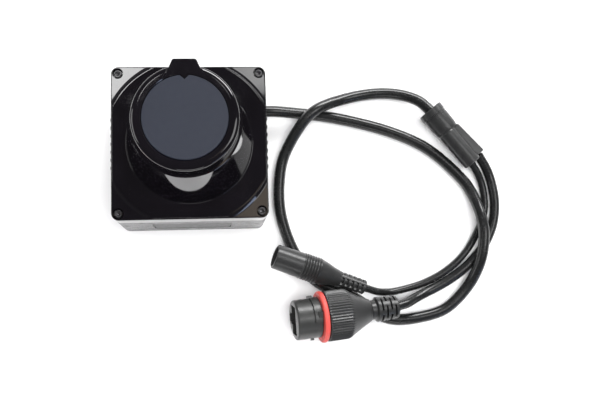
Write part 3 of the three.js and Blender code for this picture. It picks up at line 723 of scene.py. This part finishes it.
def bottom_plate():
    """Flat plate with four countersinks and four blind mounting holes."""
    z0, z1 = PLATE[0][2], PLATE[1][2]
    plate = stack(rounded_rect(SIDE, SIDE, CORNER_R, 10), rounded_levels(z0, z1, 0.4, 0.25))
    sink = [(0, z0 - 1), (3, z0 - 1), (3, z0 + 0.5), (1.6, z0 + 1.9), (1.6, z1 + 1), (0, z1 + 1)]
    sinks = [lathe(sink, 40, at=at) for at in four_corners(BOTTOM_SCREW_XY)]
    mounts = [prism(circle(1.65, 32), z0 - 1, z0 + 2.2, at) for at in four_corners(MOUNT_XY)]
    plate = cut(plate, *sinks, *mounts)
    return piece("bottom_plate_skin", plate, PAINT, ["bottom_plate"])


def label_plate():
    (x0, y0, z0), (x1, y1, z1) = LABEL
    plate = front_prism(rounded_rect(x1 - x0, z1 - z0, 2.5), y0, y1, (z0 + z1) / 2, 0.15)
    return piece("label_plate_skin", plate, FILM, ["label_plate"])


def cover_screw(index, at):
    """Socket head cap screw: chamfered head, hexagon socket with a drilled floor, plain shank."""
    low, high = SCREW[0][2], SCREW[1][2]
    head, shank = 2.2, 1.25
    under = high - 2.5
    profile = [(0, low), (shank - 0.3, low), (shank, low + 0.4), (shank, under)]
    profile += [(head - 0.1, under), (head, under + 0.1), (head, high - 0.6)]
    profile += [(head - 0.12, high - 0.3), (head - 0.3, high - 0.08), (head - 0.42, high), (0, high)]
    hexagon = prism(circle(1.17, 6), high - 1.9, high + 1, at)
    drill = lathe([(0, high - 2.4), (0.95, high - 1.9), (0.95, high - 1), (0, high - 1)], 24, at=at)
    dish = lathe([(0, high - 0.22), (1.05, high - 0.22), (1.35, high + 0.1), (0, high + 0.1)], 36, at=at)
    screw = cut(lathe(profile, 48, at=at), hexagon, drill, dish)
    name = f"cover_screw_{index}"
    return piece(f"{name}_detail", screw, OXIDE, [name], sharp=25)


def bottom_screw(index, at):
    """Countersunk hexagon socket screw, head down."""
    low, high = 0.2, 12
    profile = [(0, low), (2.4, low), (2.5, low + 0.1), (2.5, low + 0.3), (1.25, low + 1.55),
               (1.25, high - 0.4), (0.95, high), (0, high)]
    hexagon = prism(circle(0.92, 6), low - 1, low + 1, at)
    screw = cut(lathe(profile, 48, at=at), hexagon)
    name = f"bottom_screw_{index}"
    return piece(f"{name}_detail", screw, OXIDE, [name], sharp=25)


def cable_grommet():
    (x0, y0, z0), (x1, y1, z1) = GROMMET
    exit_y, exit_z = (y0 + y1) / 2, (z0 + z1) / 2
    outside = SIDE / 2 + GAP
    flange, neck, bore = (z1 - z0) / 2, 4.6, MAIN_D / 2 + 0.1
    profile = [(bore, x0), (neck, x0), (neck, outside), (flange - 0.2, outside), (flange, outside + 0.2)]
    profile += arc(flange - 1, x1 - 1, 1, 0, 90, 5)
    profile += [(bore + 0.7, x1), (bore + 0.15, x1 - 0.2), (bore, x1 - 0.7)]
    along_x = Matrix.Translation((0, exit_y, exit_z)) @ Matrix.Rotation(math.radians(90), 4, "Y")
    ring = lathe(profile, 64, closed=True)
    return piece("cable_grommet_detail", ring, RUBBER, ["cable_grommet"], along_x)


# ------------------------------------------------------------------- splitter, connectors
# Each axis runs from a fitting's open or first end to its other end.
SPLITTER_AXIS = ((139.8, 26.9, 7.6), (165.2, -4.4, 6.6))
SPLITTER_LENGTH = 39.6
JACK_AXIS = ((44.8, -57.4, 16.8), (96.6, -76.2, 8.8))
JACK_LENGTH = 55
SOCKET_AXIS = ((54.1, -93.2, 20.6), (114.1, -87.4, 12.5))
SOCKET_LENGTH = 60
SOCKET_ROLL = Matrix.Rotation(math.radians(13), 4, "Z")  # of the port about the socket's axis
PORT_DEPTH = 13
SEAL_Z = 14.2  # front face of the seal ring, from the socket's mouth
FLUTES = 58


def lobe():
    """Raised round half of the splitter, with a domed front edge."""
    radius, nose = 5.4, 15.3
    profile = [(0, nose), (3.6, nose)] + arc(3.6, nose + 1.8, 1.8, -90, 0, 8)
    profile += [(radius, SPLITTER_LENGTH - 0.5), (radius - 0.5, SPLITTER_LENGTH), (0, SPLITTER_LENGTH)]
    return turned_to(lathe(profile, 96), Matrix.Translation((-1.7, 1.9, 0)))


def wing():
    """Flat half of the splitter, which flares outwards and is cut off square."""
    start, end = 15.5, 38
    outline = rounded_rect(8, 9.4, 1.5, 6)
    solid = stack(outline, [(0, 1.2), (0.5, 0.5), (1.5, 0), (end - start - 0.4, 0), (end - start, 0.4)])
    shear = Matrix(((1, 0, 0.07, 2.8), (0, 1, 0, -0.6), (0, 0, 1, start), (0, 0, 0, 1)))
    return turned_to(solid, shear)


def splitter():
    """Round collar and barrel, then a raised lobe for one branch beside a flat wing for the other."""
    collar = [(0, -0.5), (7.1, -0.5), (7.45, -0.2), (7.5, 3.4), (7.3, 3.6), (7.05, 3.7), (7.05, 4.1),
              (7.25, 4.3), (7.25, 4.8), (7.05, 4.9), (7.05, 5.1)]
    barrel = lathe(collar + [(7.2, 5.2), (7, 13.6), (6.5, 15.8), (5, 17.4), (0, 18.4)], 96)
    ends = SPLITTER_LENGTH - 2.5
    channels = [prism(circle(POWER_D / 2 + 0.15, 32), ends, SPLITTER_LENGTH + 1, (-1.9, -1.2)),
                prism(circle(ETHERNET_D / 2 + 0.15, 32), ends - 1, SPLITTER_LENGTH + 1, (4.2, -1.1)),
                prism(circle(MAIN_D / 2 + 0.15, 40), -2, 2)]
    body = cut(join(barrel, lobe(), wing()), *channels)
    return piece("cable_splitter_skin", body, MOULDED, ["cable_splitter"],
                 axis_frame(*SPLITTER_AXIS))


def relief_slot(middle, core, width, turn, gap):
    """A ring of four slots round a strain relief, down to its core, between four ribs a gap wide."""
    low, high = middle - width / 2, middle + width / 2
    ring = lathe([(core, low), (12, low), (12, high), (core, high)], 64, closed=True)
    bars = [box((30, gap, width + 1), (0, 0, middle)), box((gap, 30, width + 1), (0, 0, middle))]
    turned = Matrix.Rotation(math.radians(turn), 4, "Z")
    return cut(ring, *[turned_to(bar, turned) for bar in bars])


def jack_shell():
    """Open barrel, ringed grip, taper and slotted strain relief, moulded in one."""
    profile = [(0, 0), (6.2, 0), (6.75, 0.25), (6.95, 0.8), (7.2, 16), (7.5, 16.3)]
    for i in range(6):
        z = 16.6 + i * 1.6
        profile += [(7.5, z), (7.1, z + 0.2), (6.95, z + 0.5), (7.1, z + 0.8)]
        profile += [(7.5, z + 1), (7.55, z + 1.3)]
    profile += [(7.4, 26.3), (7.1, 27.2), (6.7, 29.4), (6.1, 31.6), (5.4, 34), (4.9, 36.4), (4.6, 38)]
    profile += [(4.35, 39), (4.3, 39.8), (4.15, 54.5), (3.85, 54.95), (0, JACK_LENGTH)]
    mouth = lathe([(0, -1), (6.1, -1), (6.1, 0), (5.8, 0.3), (5.7, 9.5), (0, 9.5)], 72)
    bore = prism(circle(4.6, 48), 9, 22)
    channel = prism(circle(POWER_D / 2 + 0.1, 32), 51, JACK_LENGTH + 1)
    slots = [relief_slot(40.6 + i * 2.95, core=2.9, width=1.5, turn=61, gap=2.1) for i in range(5)]
    shell = cut(lathe(profile, 96), mouth, bore, channel, *slots)
    return piece("power_jack_shell_skin", shell, MOULDED, ["power_jack_shell"],
                 axis_frame(*JACK_AXIS))


def jack_insert():
    insert = lathe([(2.75, 8.6), (3.1, 8.2), (4.05, 8.2), (4.25, 8.4), (4.25, 21.5), (0, 21.5), (0, 18),
                    (2.75, 18)], 64, closed=True)
    return piece("power_jack_insert_skin", insert, MOULDED, ["power_jack_insert"],
                 axis_frame(*JACK_AXIS))


def jack_pin():
    pin = lathe([(0, 6), (0.55, 6), (0.85, 6.12), (1.02, 6.45), (1.05, 6.9), (1.05, 17.7), (0, 17.7)], 40)
    return piece("power_pin_detail", pin, STEEL, ["power_pin"], axis_frame(*JACK_AXIS))


def ethernet_socket():
    """Round barrel with the stepped port, a raised band with a groove before it, stops and keys."""
    end = SEAL_Z - GAP
    barrel = lathe([(0, 0), (9.9, 0), (10.5, 0.2), (10.9, 0.7), (11, 1.3), (11, end - 0.3), (10.8, end),
                    (9.4, end), (9.4, 20), (0, 20)], 128)
    away = turned_to(box((30, 30, 9), (-15, 0, 12)), SOCKET_ROLL)
    band = lathe([(10.5, 9.7), (11.25, 9.7), (11.4, 9.85), (11.4, end), (10.5, end)], 128, closed=True)
    groove = lathe([(10.3, 9.05), (12, 9.05), (12, 9.75), (10.3, 9.75)], 128, closed=True)
    key = turned_to(box((3.4, 1.2, 2.2), (4, 10.9, end - 1.1)), SOCKET_ROLL)
    stops = [box((1.6, 3, 2.4), (11.6, 1, 9.9)), box((1.4, 2, 1.7), (-11.3, 0, 9))]
    body = join(cut(barrel, cut(groove, away.copy())), cut(band, away), key, *stops)
    port = box((11.8, 8.4, 2 * PORT_DEPTH), (0, 0.6, 0))
    mouth = box((16.2, 8.6, 6), (0, 0.5, 0))
    latch = box((6.3, 3.8, 2 * PORT_DEPTH), (0, -5.3, 0))
    keyway = box((4, 2.2, 2 * PORT_DEPTH), (0, -7.9, 0))
    body = cut(body, *[turned_to(tool, SOCKET_ROLL) for tool in (port, mouth, latch, keyway)])
    return piece("ethernet_socket_skin", body, MOULDED_GREY, ["ethernet_socket"],
                 axis_frame(*SOCKET_AXIS))


def ethernet_contacts():
    """Carrier on the port's roof with eight sprung wires that slope into the port."""
    carrier = join(box((10.8, 1, 9), (0, 4, 8)), box((10.8, 1.6, 1.2), (0, 3.4, 12)))
    rolled = axis_frame(*SOCKET_AXIS) @ SOCKET_ROLL
    base = piece("ethernet_carrier", carrier, MOULDED, (), rolled)
    wires = bmesh.new()
    for i in range(8):
        x = (i - 3.5) * 1.02
        for centre, length, tilt in (((x, 3.38, 6.2), 5.6, 6), ((x, 3.2, 10.4), 3.2, -8)):
            bar = box((0.42, 0.3, length), (0, 0, 0))
            turned_to(bar, Matrix.Rotation(math.radians(tilt), 4, "X"))
            turned_to(bar, Matrix.Translation(centre))
            mesh = bpy.data.meshes.new("bar")
            bar.to_mesh(mesh)
            wires.from_mesh(mesh)
            bpy.data.meshes.remove(mesh)
    contacts = piece("ethernet_contacts_detail", wires, GOLD, ["ethernet_contacts"],
                     rolled, sharp=20)
    return [contacts, base]


def seal_ring():
    """Soft ring with a rounded outer edge and a shallow lip on its front face."""
    low, high, round_r = SEAL_Z, SEAL_Z + 2.9, 1
    profile = [(9.8, low), (11.4, low), (11.7, low + 0.15), (12.3, low + 0.15), (12.6, low)]
    profile += arc(13.2, low + round_r, round_r, -90, 0, 6)
    profile += arc(13.2, high - round_r, round_r, 0, 90, 6)
    ring = lathe(profile + [(9.8, high)], 128, closed=True)
    return piece("seal_ring_skin", ring, RED, ["seal_ring"], axis_frame(*SOCKET_AXIS))


def coupling_grip():
    """Fluted band that rounds over into a smooth cone, open at the front for the socket's tail.

    The outline is a list of (radius, z, share of the flutes' full depth).
    """
    flute_depth = 0.5
    around = FLUTES * 6
    start = SEAL_Z + 2.9 + GAP
    outside = [(13.2, start, 0), (13.75, start + 0.2, 0.1), (14, start + 0.7, 0.8), (14, start + 1.4, 1)]
    outside += [(14, start + 1.4 + i * 1.3, 1) for i in range(1, 8)]
    outside += [(13.95, 28.9, 1), (13.8, 29.9, 0.9), (13.5, 30.6, 0.6), (13.1, 31.3, 0.2), (12.4, 32.3, 0),
                (11.2, 34.4, 0), (9.8, 37, 0), (8.4, 39.6, 0), (7.2, 41.8, 0), (6.6, 43, 0), (6.3, 43.7, 0),
                (6, 43.95, 0)]
    inside = [(5.6, 43.9, 0), (4.6, 43.6, 0), (4.6, 21, 0), (9.8, 20.4, 0), (9.8, start, 0)]
    bm = bmesh.new()
    rings = []
    for radius, z, flute in outside + inside:
        ring = []
        for i in range(around):
            turn = 2 * math.pi * i / around
            dip = flute_depth * flute * (0.5 - 0.5 * math.cos(turn * FLUTES)) ** 0.7
            r = radius - dip
            ring.append(bm.verts.new((r * math.cos(turn), r * math.sin(turn), z)))
        rings.append(ring)
    for low, high in zip(rings, rings[1:] + rings[:1]):
        for i in range(around):
            j = (i + 1) % around
            bm.faces.new((low[i], low[j], high[j], high[i]))
    return piece("coupling_grip_skin", bm, MOULDED, ["coupling_grip"],
                 axis_frame(*SOCKET_AXIS), sharp=50)


def ethernet_boot():
    """Neck, collar and slotted strain relief, whose slots are turned 45 degrees from ring to ring."""
    profile = [(0, 30), (4.3, 30), (4.3, 44.1), (5.3, 44.1), (5.5, 44.4), (5.5, 46.8), (6.2, 47.3),
               (6.8, 47.5), (7, 48), (6.45, 59.2), (6.1, 59.8), (0, SOCKET_LENGTH)]
    channel = prism(circle(ETHERNET_D / 2 + 0.1, 32), 55, SOCKET_LENGTH + 1)
    slots = []
    for i in range(4):
        turn = 20 + 45 * (i % 2)
        slots.append(relief_slot(49.9 + i * 2.6, core=3.6, width=1.1, turn=turn, gap=2.6))
    boot = cut(lathe(profile, 96), channel, *slots)
    return piece("ethernet_boot_skin", boot, MOULDED, ["ethernet_boot"],
                 axis_frame(*SOCKET_AXIS))


# ------------------------------------------------------------------------ light, floor
def area_light(name, place, target, size, power, color=(1, 1, 1)):
    data = bpy.data.lights.new(name, "AREA")
    data.shape = "RECTANGLE"
    data.size, data.size_y = size
    data.energy = power
    data.color = color
    obj = bpy.data.objects.new(name, data)
    obj.location = place
    obj.rotation_euler = (Vector(target) - Vector(place)).to_track_quat("-Z", "Y").to_euler()
    bpy.context.scene.collection.objects.link(obj)
    return obj


def make_studio():
    """White table under a big soft panel, small strips to the rear, weak panels round it, dim room."""
    floor = bmesh.new()
    bmesh.ops.create_circle(floor, cap_ends=True, segments=64, radius=2.5)
    bmesh.ops.translate(floor, vec=(0, 0, -0.0002), verts=floor.verts)
    mesh = bpy.data.meshes.new("floor")
    floor.to_mesh(mesh)
    floor.free()
    mesh.materials.append(paper_floor())
    obj = bpy.data.objects.new("floor", mesh)
    bpy.context.scene.collection.objects.link(obj)
    target = (0.05, -0.02, 0)
    area_light("rear_left_strip", (-0.2, 0.455, 1.5), target, (0.13, 0.1), 0.62)
    area_light("rear_right_strip", (0.1, 0.455, 1.5), target, (0.1, 0.1), 0.22)
    area_light("front_right_strip", (0.1, 0.15, 1.5), target, (0.1, 0.09), 0.05, (1, 0.84, 0.66))
    area_light("front_right_glow", (0.9, -0.9, 0.5), target, (0.5, 0.1), 0.9, (0.6, 0.72, 1))
    area_light("left_panel", (-1.2, 0.1, 0.75), target, (0.8, 0.4), 4)
    area_light("rear_panel", (0.7, 1.4, 0.85), target, (1.4, 0.45), 38)
    area_light("right_overhead", (0.75, 0.05, 1.4), target, (0.5, 0.7), 5)
    area_light("front_panel", (0.1, -1.4, 0.7), target, (0.9, 0.3), 3)
    key = area_light("overhead_panel", (0.05, -0.3, 1.6), target, (1.2, 1.0), 29)
    key.visible_glossy = False
    make_sky()


def make_sky():
    """Pale at the horizon, dark overhead, as in a room with a lit table."""
    world = bpy.data.worlds.new("room")
    world.use_nodes = True
    bpy.context.scene.world = world
    nodes, links = world.node_tree.nodes, world.node_tree.links
    place = nodes.new("ShaderNodeTexCoord")
    split = nodes.new("ShaderNodeSeparateXYZ")
    ramp = nodes.new("ShaderNodeValToRGB")
    links.new(place.outputs["Generated"], split.inputs["Vector"])
    links.new(split.outputs["Z"], ramp.inputs["Fac"])
    links.new(ramp.outputs["Color"], nodes["Background"].inputs["Color"])
    ramp.color_ramp.elements[0].position = 0.0
    ramp.color_ramp.elements[0].color = (0.3, 0.3, 0.31, 1)
    ramp.color_ramp.elements[1].position = 0.5
    ramp.color_ramp.elements[1].color = (0.1, 0.09, 0.1, 1)
    nodes["Background"].inputs["Strength"].default_value = 1


def look():
    view = bpy.context.scene.view_settings
    view.view_transform = "Standard"
    view.look = "None"
    view.exposure = 0
    view.gamma = 1


# ---------------------------------------------------------------------------- assembly
make_camera()
look()

grommet = cable_grommet()
splitter_piece = splitter()
jack = [jack_shell(), jack_insert(), jack_pin()]
socket = [ethernet_socket(), *ethernet_contacts(), seal_ring(), coupling_grip(), ethernet_boot()]

main = cord_piece("main_cord", MAIN_ROUTE, MAIN_D, "main_cable", after=2)
power = cord_piece("power_cord", POWER_ROUTE, POWER_D, "power_cable", before=2, after=2.5)
ethernet = cord_piece("ethernet_cord", ETHERNET_ROUTE, ETHERNET_D, "ethernet_cable", before=2.5,
                      after=2.5)

window_cover()
top_disc()
base_housing()
bottom_plate()
label_plate()
for number, corner in enumerate(four_corners(SCREW_XY), 1):
    cover_screw(number, corner)
for number, corner in enumerate(four_corners(BOTTOM_SCREW_XY), 1):
    bottom_screw(number, corner)
finish_cad_nodes()
make_studio()
